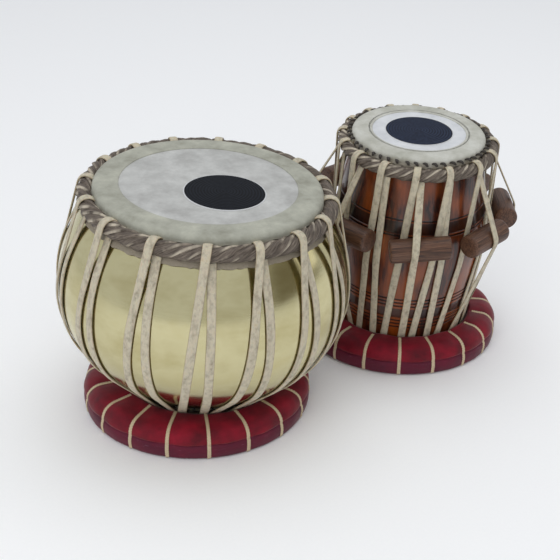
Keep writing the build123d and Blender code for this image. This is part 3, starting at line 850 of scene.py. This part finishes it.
def patch(drum, place, at, radius, head_z, look):
    """Round patch of paste, built up in rubbed layers, each a little smaller than the last."""
    outline = [(0.0, 0.0), (radius, 0.0), (radius, 0.35)]
    rings = round(radius / PASTE_RING)
    for step in range(rings, 0, -1):
        crown = 0.5 + 1.1 * (1 - (step / rings) ** 2)
        ring_r = (radius - 0.6) * step / rings
        outline += [(ring_r, crown), (ring_r - 1.2, crown + 0.12), (ring_r - 1.9, crown + 0.04)]
    outline.append((0.0, 1.62))
    spot = place @ Matrix.Translation((at[0], at[1], head_z))
    bm = spun(outline, steps=120)
    finish(bm, f"{drum}_paste", spot, look, drum, [f"{drum}_syahi"], sharp=60)


def hoop(drum, place, looks, ring, strands, turns, name, node):
    """The twisted hoop at the top of a drum, or the smaller ring that the straps are laced to under it."""
    bm = blank()
    rope_ring(bm, ring, strands, turns)
    finish(bm, name, place, looks["hoop"], drum, [node], sharp=70)


def stitches(place, looks):
    """Thong stitches that hold the dayan's skins to the hoop through holes in their edge, painted dark for
    the shade in those holes.
    """
    bm = blank()
    for number in range(STITCHES):
        angle = STITCH_START + number * STITCH_STEP + rng.uniform(-0.7, 0.7)
        level = STITCH_Z + rng.uniform(-0.4, 0.4)
        side = polar(1, angle + 90, 0)

        def corner(u, v):
            bend = math.pi * (u - 0.08)
            radius = STITCH_R + STITCH_REACH * (1 - math.cos(bend)) / 2
            middle = polar(radius, angle + 2.4 * u, level + STITCH_RISE * math.sin(bend))
            turn = math.tau * v
            size = STITCH_SIZE * (1 - 0.35 * abs(2 * u - 1))
            round_it = side * math.cos(turn) + Vector((0, 0, 0.6 * math.sin(turn)))
            return middle + round_it * size, (u, v, number)

        tube(bm, 8, 8, corner)
    finish(bm, "dayan_hoop_stitches", place, looks["thong"], "dayan")


# ---------------------------------------------------------------- lacing

def bowl_circles():
    return (belly_circle(BOWL_BELLY, BOWL_NECK), belly_circle(BOWL_BELLY, BOWL_FLANK))


def barrel_circles():
    base = corner_circle((0, BARREL_BASE[1]), BARREL_BASE, BARREL_BELLY, BASE_ROUND)
    belly = corner_circle(BARREL_BASE, BARREL_BELLY, BARREL_RIM, BELLY_ROUND)
    return (belly, base)


def stub(ring):
    return (ring[0] + 1.0, ring[1] - ring[2] - 2.0, 1.0)


def bowl_drift(angle):
    """How far a loop of the bayan has crept round from its even place."""
    seen = math.radians(angle + 34.8)
    return -2.4 + 2.2 * math.cos(seen + 1.05) + 1.9 * math.cos(2 * (seen + 1.31))


def barrel_drift(angle):
    return 5.5 * math.sin(math.radians(angle + 109.8))


def bowl_lacing(place, looks):
    bm = blank()
    for loop in range(LOOPS):
        angle = BOWL_LOOP_START + loop * LOOP_STEP
        ring = hoop_at(BOWL_HOOP, angle)
        over = taut_line((ring,) + bowl_circles() + (BOWL_FOOT_RING,), OVER_HOOP)
        under = taut_line((stub(ring),) + bowl_circles() + (BOWL_FOOT_RING,), UNDER_HOOP)
        at = (angle + bowl_drift(angle), angle + 0.6 * bowl_drift(angle), angle)
        first = strap_stations(over, at, BOWL_OVER, rng.uniform(-0.8, 0.8))
        second = strap_stations(under, at, BOWL_UNDER, rng.uniform(-0.9, 0.9))
        strap(bm, first, loop + 0.2, BOWL_STRAP_WIDTH)
        strap(bm, second, loop + 0.7, BOWL_STRAP_WIDTH)
    finish(bm, "bayan_lacing", place, looks["strap"], "bayan", ["bayan_straps"], sharp=70)


def barrel_lacing(place, looks):
    """Straps of the dayan; every second loop goes over a dowel."""
    bm = blank()
    belly, base = barrel_circles()
    held = (DOWEL_REACH, DOWEL_Z, DOWEL_R)
    for loop in range(LOOPS):
        angle = BARREL_LOOP_START + loop * LOOP_STEP
        ring = hoop_at(BARREL_HOOP, angle)
        over = taut_line((ring, belly, base, BARREL_FOOT_RING), OVER_HOOP)
        at = (angle + barrel_drift(angle), angle + 0.35 * barrel_drift(angle), angle)
        first = strap_stations(over, at, BARREL_OVER, rng.uniform(-0.8, 0.8))
        strap(bm, first, loop + 20.2, BARREL_STRAP_WIDTH)
        if loop % 2:
            under = taut_line((stub(ring), belly, base, BARREL_FOOT_RING), UNDER_HOOP)
            second = strap_stations(under, at, BARREL_UNDER, rng.uniform(-1.5, 1.5))
            strap(bm, second, loop + 20.7, BARREL_STRAP_WIDTH)
        else:
            lifted = taut_line((stub(ring), held, base, BARREL_FOOT_RING), UNDER_HOOP)
            second = strap_stations(lifted, at, BARREL_LIFTED)
            over_dowel(place, looks, lifted, second, loop)
    finish(bm, "dayan_lacing", place, looks["strap"], "dayan", ["dayan_straps"], sharp=70)


def over_dowel(place, looks, line, stations, loop):
    """The strap over one dowel, in two lengths that meet on the dowel's outer side."""
    number = loop // 2 + 1
    on_dowel = [
        step
        for step, (radius, height, lean) in enumerate(line)
        if abs(math.dist((radius, height), (DOWEL_REACH, DOWEL_Z)) - DOWEL_R - STRAP_CLEAR) < 0.05
    ]
    first, last = on_dowel[0], on_dowel[-1]
    middle = min(on_dowel, key=lambda step: abs(line[step][2] - 5))
    landed = next(step for step, (radius, height, lean) in enumerate(line) if height < SEAT_Z)
    pieces = (
        ("above", stations[:middle + 1], ("dayan", f"dowel_{number}"), (stations[1][0], stations[first][0])),
        ("below", stations[middle:], (f"dowel_{number}", "dayan"), (stations[last][0], stations[landed][0])),
    )
    for side, run, bodies, (start, end) in pieces:
        bm = blank()
        strap(bm, run, number + 40.5, BARREL_STRAP_WIDTH)
        name = f"strap_{side}_dowel_{number}"
        nodes = [f"strap_over_gatta_{number}"]
        obj = finish(bm, name, place, looks["strap"], None, nodes, sharp=70)
        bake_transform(obj)


def dowel_length(place, number):
    """Length of a dowel, along the line it lies on."""
    angle = DOWEL_START + number * DOWEL_STEP
    lying = (place.to_3x3() @ polar(1, angle + 90, 0)).normalized()
    spots = [lying.dot(vert.co) for vert in frame["nodes"][f"gatta_{number + 1}"].data.vertices]
    return (max(spots) - min(spots)) / MM


def dowels(place, looks):
    """Sawn tuning dowels with bevelled ends, not quite round."""
    for number in range(DOWELS):
        lot = rng.uniform(0, 90)
        length = dowel_length(place, number)
        outline = [(0.0, 0.0), (5.0, 0.0), (DOWEL_R - 2.2, 0.1), (DOWEL_R - 0.7, 1.0), (DOWEL_R - 0.1, 2.4)]
        steps = 14
        outline += [(DOWEL_R, 2.4 + (length - 4.8) * (step + 0.5) / steps) for step in range(steps)]
        outline += [(radius, length - height) for radius, height in outline[4::-1]]
        bm = spun(outline, steps=56)
        for vert in bm.verts:
            turn = math.atan2(vert.co.y, vert.co.x)
            facet = 0.10 * math.cos(5 * turn + lot) + 0.12 * math.cos(3 * turn + 2 * lot)
            hewn = noise.noise(Vector((vert.co.x / 7, vert.co.y / 7, vert.co.z / 16 + lot)))
            vert.co.xy *= 1 - 0.022 + 0.008 * facet + 0.012 * hewn
            vert.co.z -= length / 2
        angle = DOWEL_START + number * DOWEL_STEP
        outward = polar(1, angle, 0)
        lying = Vector((-outward.y, outward.x, 0))
        turn = Matrix((outward, Vector((0, 0, -1)), lying)).transposed().to_4x4()
        askew = Matrix.Rotation(math.radians(DOWEL_TILTS[number]), 4, "X")
        spot = place @ Matrix.Translation(polar(DOWEL_REACH, angle, DOWEL_Z)) @ turn @ askew
        shift = Matrix.Translation((0, 0, lot))
        bmesh.ops.transform(bm, matrix=shift, verts=bm.verts)
        name = f"tuning_dowel_{number + 1}"
        place_it = spot @ shift.inverted()
        nodes = [f"gatta_{number + 1}"]
        finish(bm, name, place_it, looks["dowel"], f"dowel_{number + 1}", nodes)


# ---------------------------------------------------------------- cushions

def cushion_outline(outer_r):
    """Section of a stuffed ring, as (radius, height, how much it puffs out, how much it is side wall)."""
    line = []
    for step in range(10):
        line.append((HOLE_R + (outer_r - 4 - HOLE_R) * step / 9, 0.9, 0.0, 0.3))
    for angle in (-65, -40, -15):
        line.append((*rim_point((outer_r - 4, 4.0, 3.4), angle), 0.2, 1.0))
    for step in range(8):
        height = 5.2 + (CREASE_Z - 1.4 - 5.2) * step / 7
        line.append((outer_r - 0.7 + 0.9 * math.sin(math.pi * (step + 1) / 9), height, 0.45, 1.0))
    line.append((outer_r - 1.1, CREASE_Z - 0.4, 0.3, 1.0))
    line.append((outer_r - 1.5, CREASE_Z + 0.2, 0.3, 0.6))
    for step in range(15):
        turn = math.radians(90 * step / 14)
        radius = outer_r - 19 + 18.6 * math.cos(turn) ** 0.9
        line.append((radius, CREASE_Z + 1.2 + (RING_TOP - CREASE_Z - 1.2) * math.sin(turn), 1.0, 0.0))
    inner_r = HOLE_R + 9
    for step in range(1, 14):
        share = step / 14
        radius = outer_r - 19 + (inner_r - outer_r + 19) * share
        line.append((radius, RING_TOP + 0.5 * math.sin(math.pi * share), 1 - share, 0.0))
    for angle in (90, 120, 150, 180):
        line.append((*rim_point((inner_r, RING_TOP - 9, 9.0), angle), 0.0, 0.0))
    for step in range(1, 9):
        line.append((HOLE_R, RING_TOP - 9 - (RING_TOP - 9.9) * step / 9, 0.0, 0.0))
    return line


def seat_heights(circles):
    """Heights of the laced drum's underside against its radius, for the seat that it presses in."""
    line = taut_line(circles, 0, -90, STRAP_CLEAR + STRAP_THICK + 0.4)
    return sorted((radius, height) for radius, height, lean in line)


class Cushion:
    """A ring cushion: where its cloth is at any angle, and the pieces made of it."""

    def __init__(self, drum, outer_r, circles, braid_start):
        self.drum = drum
        self.place = ring_place(drum)
        self.to_drum = drum_place(drum).inverted() @ self.place
        self.line = cushion_outline(outer_r)
        self.seat = seat_heights(circles)
        self.start = braid_start
        self.lot = rng.uniform(0, 40)

    def lowered(self, point):
        """The point, pressed down where the drum sits on it."""
        here = self.to_drum @ point
        radius = math.hypot(here.x, here.y)
        number = bisect.bisect(self.seat, (radius, 0.0))
        if number == 0:
            limit = self.seat[0][1]
        elif number == len(self.seat):
            return point
        else:
            (r0, z0), (r1, z1) = self.seat[number - 1], self.seat[number]
            limit = z0 + (z1 - z0) * (radius - r0) / (r1 - r0)
        if here.z > limit:
            point.z = max(1.5, point.z - (here.z - limit))
        return point

    def cloth(self, angle, number):
        """The cloth's surface at an angle and a step of the cross-section, and its outward direction."""
        radius, height, puff, side = self.line[number]
        before, after = self.line[number - 1], self.line[(number + 1) % len(self.line)]
        step = Vector((after[0] - before[0], after[1] - before[1])).normalized()
        out = polar(step.y, angle, -step.x)
        between = abs(math.sin(math.pi * (angle - self.start) / BRAID_STEP)) ** 0.8
        crumple = noise.noise(polar(4.2, angle, number / 9 + self.lot)) + 0.6 * noise.noise(
            polar(13, angle, number / 5 + self.lot)
        )
        swell = puff * (1.9 * between - 1.1) + 0.55 * crumple * min(1.0, puff + 0.25 * side)
        if height < 1.0:
            swell = 0.0
        return self.lowered(polar(radius, angle, height) + out * swell), out

    def cover(self, look):
        bm = blank()
        count = len(self.line)
        lengths = [0.0]
        for one, following in zip(self.line, self.line[1:] + self.line[:1]):
            lengths.append(lengths[-1] + math.dist(one[:2], following[:2]))

        def corner(u, v):
            number = round(v * count)
            point, out = self.cloth(360 * u, number % count)
            return point, (math.tau * u * 110, lengths[number], self.line[number % count][3])

        tube(bm, BRAIDS * 16, count, corner, looped=True)
        nodes = [f"{self.drum}_cushion_cover"]
        name = f"{self.drum}_stuffed_ring"
        obj = finish(bm, name, self.place, look, f"{self.drum}_ring", nodes, sharp=80)

    def braids(self, look):
        """Plaited gilt braids of three strands, laid over the cloth from the seat to the floor."""
        last = next(step for step in range(30, len(self.line)) if self.line[step][0] < 86)
        bm = blank()
        for number in range(BRAIDS):
            angle = self.start + number * BRAID_STEP + rng.uniform(-0.5, 0.5)
            path = [self.cloth(angle, step) for step in range(BRAID_TOP, last + 1)]
            lengths = [0.0]
            for one, following in zip(path, path[1:]):
                lengths.append(lengths[-1] + (following[0] - one[0]).length)
            side = polar(1, angle + 90, 0)
            for strand in range(3):
                self.plait(bm, path, lengths, side, strand, number)
        nodes = [f"{self.drum}_cushion_braids"]
        name = f"{self.drum}_gilt_braids"
        finish(bm, name, self.place, look, f"{self.drum}_ring", nodes, sharp=80)

    def plait(self, bm, path, lengths, side, strand, lot):
        steps = round(lengths[-1] / 1.15)

        def corner(u, v):
            along = u * lengths[-1]
            here = max(0, min(len(path) - 2, bisect.bisect(lengths, along) - 1))
            share = (along - lengths[here]) / max(1e-6, lengths[here + 1] - lengths[here])
            point = path[here][0].lerp(path[here + 1][0], min(1.0, share))
            out = path[here][1].lerp(path[here + 1][1], min(1.0, share)).normalized()
            phase = math.tau * (along / PLAIT_LENGTH + strand / 3)
            turn = math.tau * v
            sway = 1.25 * math.sin(phase) + 0.85 * math.cos(turn)
            lift = 0.35 + 0.30 * math.sin(2 * phase) + 0.48 * math.sin(turn)
            return point + side * sway + out * lift, (along, math.cos(turn), lot)

        tube(bm, steps, 6, corner)

    def base(self, look):
        """Cloth that closes the underside, gathered in small pleats along its edges."""
        outer = self.line[9][0]
        under = [(HOLE_R + 0.8, 0.55), (HOLE_R + 3, 0.15), (outer - 3, 0.15)]
        over = [(outer - 0.6, 0.6), (outer - 3, 1.1), (HOLE_R + 3, 1.1)]
        bm = spun(under + over, steps=216, closed=True)
        for vert in bm.verts:
            turn = math.atan2(vert.co.y, vert.co.x)
            radius = math.hypot(vert.co.x, vert.co.y)
            edge = 1 if radius > outer - 2 or radius < HOLE_R + 2 else 0
            vert.co.z += edge * 0.3 * math.sin(54 * turn)
        nodes = [f"{self.drum}_cushion_base"]
        finish(bm, f"{self.drum}_ring_underside", self.place, look, f"{self.drum}_ring", nodes)


# ---------------------------------------------------------------- studio

def camera(target):
    forward = Vector(VIEW_AHEAD).normalized()
    level = forward.cross(Vector((0, 0, 1))).normalized()
    upright = level.cross(forward)
    right = level * math.cos(VIEW_ROLL) + upright * math.sin(VIEW_ROLL)
    up = upright * math.cos(VIEW_ROLL) - level * math.sin(VIEW_ROLL)
    data = bpy.data.cameras.new("camera")
    data.sensor_width = SENSOR
    data.lens = LENS
    obj = bpy.data.objects.new("camera", data)
    bpy.context.scene.collection.objects.link(obj)
    turn = Matrix((right, up, -forward)).transposed().to_4x4()
    obj.matrix_world = Matrix.Translation(target - forward * VIEW_DISTANCE) @ turn
    bpy.context.scene.camera = obj


def soft_light(name, at, target, size, power):
    data = bpy.data.lights.new(name, "AREA")
    data.shape = "RECTANGLE"
    data.size, data.size_y = size
    data.energy = power
    obj = bpy.data.objects.new(name, data)
    obj.location = at
    obj.rotation_euler = (Vector(target) - Vector(at)).to_track_quat("-Z", "Y").to_euler()
    bpy.context.scene.collection.objects.link(obj)
    return obj


def studio():
    bm = bmesh.new()
    bmesh.ops.create_grid(bm, x_segments=8, y_segments=8, size=6.0)
    mesh = bpy.data.meshes.new("paper_floor")
    bm.to_mesh(mesh)
    bm.free()
    floor = bpy.data.objects.new("paper_floor", mesh)
    mesh.materials.append(studio_floor())
    bpy.context.scene.collection.objects.link(floor)
    world = bpy.data.worlds.new("white_room")
    world.use_nodes = True
    bpy.context.scene.world = world
    tree = world.node_tree
    sky = tree.nodes["Background"]
    way = add(tree, "ShaderNodeTexCoord").outputs["Generated"]
    # The room is darker low down on the right, past the edge of the white sweep
    toward = Vector((0.72, -0.66, 0.16)).normalized()
    facing = add(tree, "ShaderNodeVectorMath", [(0, way), (1, toward)], operation="DOT_PRODUCT")
    spot = [("Value", facing), ("From Min", 0.80), ("From Max", 0.97)]
    share = add(tree, "ShaderNodeMapRange", spot, interpolation_type="SMOOTHSTEP")
    walls = [(0, share), (6, linear("#F1F4F8")), (7, linear("#8A8474"))]
    room = add(tree, "ShaderNodeMix", walls, data_type="RGBA")
    tree.links.new(main_output(room), sky.inputs["Color"])
    sky.inputs["Strength"].default_value = 0.76
    key = soft_light("window_left", (-1.5, -1.1, 1.5), (0, 0, 0.15), (1.6, 1.6), 12.0)
    key.visible_glossy = False
    soft_light("window_above", (0.3, 0.2, 2.0), (0, 0, 0.1), (1.6, 1.2), 7.0)
    soft_light("window_right", (1.6, -0.9, 0.9), (0.1, 0, 0.15), (0.7, 1.2), 2.0)
    bpy.context.scene.view_settings.view_transform = "Standard"


# ---------------------------------------------------------------- the tabla

def main():
    bowl_top = BOWL_RIM[1]
    barrel_top = BARREL_RIM[1]
    looks = {
        "brass": spun_brass(),
        "rosewood": varnished_rosewood(),
        "dowel": sanded_dowel_wood(),
        "bayan_skin": dressed_skin("dressed_skin_grey", "#A09F9C", "#B4B4B1", "#C6C6C3", bowl_top),
        "bayan_edge": dressed_skin(
            "dressed_edge_skin_grey", "#8B8A7C", "#A4A497", "#B8B8A9", bowl_top - 2, 1.6
        ),
        "dayan_skin": dressed_skin("dressed_skin_white", "#BCBEC2", "#CFD1D4", "#DCDDDF", barrel_top),
        "dayan_edge": dressed_skin(
            "dressed_edge_skin_pale", "#A2A295", "#BAB9AF", "#CBCBC3", barrel_top + 1.5, 1.6
        ),
        "bayan_paste": rubbed_paste("rubbed_paste_black", "#030407", "#191D26", BOWL_PATCH_R, 1.2),
        "dayan_paste": rubbed_paste("rubbed_paste_blue_black", "#0B0F1A", "#2D364C", BARREL_PATCH_R, 0.8),
        "hoop": twisted_hide(),
        "thong": thong_in_painted_shade(),
        "strap": cut_rawhide(),
        "cotton": cushion_cotton(),
        "gilt": gilt_braid(),
        "base": base_cotton(),
    }
    fibre = plant_fibre()
    lining = lining_hide()
    for node, look in (
        ("bayan_cushion_core", fibre),
        ("dayan_cushion_core", fibre),
        ("bayan_lining_ring", lining),
        ("dayan_lining_ring", lining),
    ):
        frame["nodes"][node].data.materials.clear()
        frame["nodes"][node].data.materials.append(look)

    bayan = drum_place("bayan")
    bowl(bayan, looks)
    tails = (bowl_tail, bowl_edge_tail)
    head("bayan", bayan, looks, BOWL_RIM, BOWL_LIP, tails, BOWL_EDGE_R, 1.7, 32)
    patch("bayan", bayan, BOWL_PATCH_AT, BOWL_PATCH_R, bowl_top + SKIN_OUT + 0.02, looks["bayan_paste"])
    hoop("bayan", bayan, looks, BOWL_HOOP, 5, 11, "bayan_twisted_hoop", "bayan_gajra")
    hoop("bayan", bayan, looks, BOWL_FOOT_RING, 3, 14, "bayan_foot_rope", "bayan_foot_ring")
    bowl_lacing(bayan, looks)

    dayan = drum_place("dayan")
    barrel(dayan, looks)
    tails = (barrel_tail, barrel_edge_tail)
    head("dayan", dayan, looks, BARREL_RIM, RIM_ROUND, tails, BARREL_EDGE_R, 0.5, 48)
    patch("dayan", dayan, (0, 0), BARREL_PATCH_R, barrel_top + SKIN_OUT + 0.02, looks["dayan_paste"])
    hoop("dayan", dayan, looks, BARREL_HOOP, 5, 9, "dayan_twisted_hoop", "dayan_gajra")
    hoop("dayan", dayan, looks, BARREL_FOOT_RING, 3, 18, "dayan_foot_rope", "dayan_foot_ring")
    stitches(dayan, looks)
    barrel_lacing(dayan, looks)
    dowels(dayan, looks)

    held = (DOWEL_REACH, DOWEL_Z, DOWEL_R)
    base = barrel_circles()[1]
    rings = (
        Cushion("bayan", BOWL_RING_R, (bowl_circles()[1], BOWL_FOOT_RING), BOWL_BRAID_START),
        Cushion("dayan", BARREL_RING_R, (held, base, BARREL_FOOT_RING), BARREL_BRAID_START),
    )
    for ring in rings:
        ring.cover(looks["cotton"])
        ring.braids(looks["gilt"])
        ring.base(looks["base"])

    low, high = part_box("bayan_cushion_base")
    camera(Vector(((low.x + high.x) / 2, (low.y + high.y) / 2, 0.0)) + Vector(VIEW_OF))
    studio()


main()
